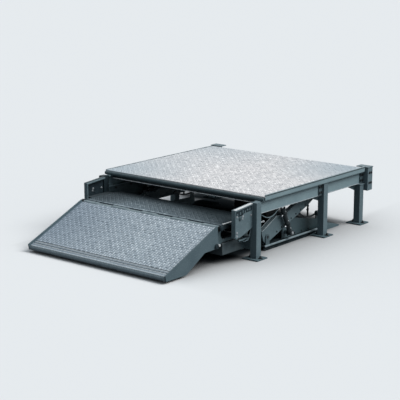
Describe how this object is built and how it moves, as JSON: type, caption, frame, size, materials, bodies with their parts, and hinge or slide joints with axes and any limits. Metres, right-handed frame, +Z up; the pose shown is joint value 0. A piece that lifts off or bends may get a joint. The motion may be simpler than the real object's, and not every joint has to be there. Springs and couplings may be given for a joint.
{
  "type": "dock leveler",
  "caption": "Free-standing hydraulic dock leveler: rear-hinged tread-plate deck on a steel leg frame, fixed landing plate and hinged front lip with side cheeks.",
  "frame": {"origin": "on the floor, below the middle of the leveler's width and length", "axes": "+X to the right seen from the lip, +Y from the lip to the rear hinge, +Z up"},
  "size_m": [2.09, 3.111, 0.593],
  "materials": {
    "frame_paint": "satin",
    "deep_paint": "satin",
    "deck_tread": "rolled tread pattern",
    "lip_tread": "rolled tread pattern",
    "landing_tread": "rolled tread pattern",
    "bright_steel": "zinc plated",
    "chromed_rod": "ground and chromed",
    "rubber": "moulded",
    "tank_plastic": "moulded",
    "motor_casting": "painted casting"
  },
  "bodies": {
    "frame": {"legs_left": "frame_paint", "legs_right": "frame_paint", "foot_plates": "frame_paint", "side_beams_left": "frame_paint", "side_beams_right": "frame_paint", "beam_gussets": "deep_paint", "beam_cleats": "deep_paint", "rest_pads": "rubber", "rear_posts": "frame_paint", "rear_beam": "frame_paint", "hinge_lugs": "deep_paint", "hinge_pins": "bright_steel", "front_bracket_left": "frame_paint", "front_bracket_right": "frame_paint", "front_cross_tube": "deep_paint", "bumper_boxes": "deep_paint", "bumpers": "rubber", "landing_plate": "landing_tread", "landing_ribs": "deep_paint", "landing_knuckles": "deep_paint", "lip_hinge_pin": "bright_steel", "lip_pin_heads": "deep_paint", "lip_stops": "bright_steel", "base_rails": "deep_paint", "rail_feet": "deep_paint", "floor_ties": "deep_paint", "arm_brackets": "deep_paint", "arm_pins": "bright_steel", "ram_plates": "frame_paint", "ram_pins": "bright_steel", "safety_props": "deep_paint", "side_guard": "deep_paint", "oil_tank": "tank_plastic", "pump_motor": "motor_casting"},
    "deck": {"deck_plate": "deck_tread", "deck_headers": "deep_paint", "deck_edges": "deep_paint", "deck_stringers": "deep_paint", "hinge_ears": "deep_paint", "ram_lugs": "deep_paint", "ram_top_pins": "bright_steel"},
    "lip": {"lip_plate": "lip_tread", "lip_nose": "lip_tread", "lip_cheeks": "frame_paint", "lip_ribs": "deep_paint", "lip_knuckles": "deep_paint"},
    "lift_gear": {"lift_arms": "frame_paint", "torsion_tube": "deep_paint"},
    "barrels": {"ram_barrels": "frame_paint"},
    "rods": {"ram_rods": "chromed_rod"}
  },
  "joints": [
    {"name": "deck_hinge", "type": "hinge", "parent": "frame", "child": "deck", "pos_m": [0, 1.42548, 0.52], "axis": [-1, 0, 0], "range_deg": [0, 8]},
    {"name": "lip_hinge", "type": "hinge", "parent": "frame", "child": "lip", "pos_m": [0, -0.78952, 0.352], "axis": [-1, 0, 0], "range_deg": [0, 28]},
    {"name": "arm_pivot", "type": "hinge", "parent": "frame", "child": "lift_gear", "pos_m": [0, -0.04952, 0.125], "axis": [1, 0, 0], "range_deg": [0, 5.2]},
    {"name": "barrel_tilt", "type": "hinge", "parent": "frame", "child": "barrels", "pos_m": [0, 0.28548, 0.108], "axis": [-1, 0, 0], "range_deg": [0, 8.9]},
    {"name": "rod_slide", "type": "slide", "parent": "barrels", "child": "rods", "axis": [0, -0.4393, 0.8984], "range_m": [0, 0.169]}
  ],
  "couplings": [
    {"joint": "arm_pivot", "follows": "deck_hinge", "ratio": 0.645},
    {"joint": "barrel_tilt", "follows": "deck_hinge", "ratio": 1.1118},
    {"joint": "rod_slide", "follows": "deck_hinge", "m_per_rad": 1.2099}
  ]
}
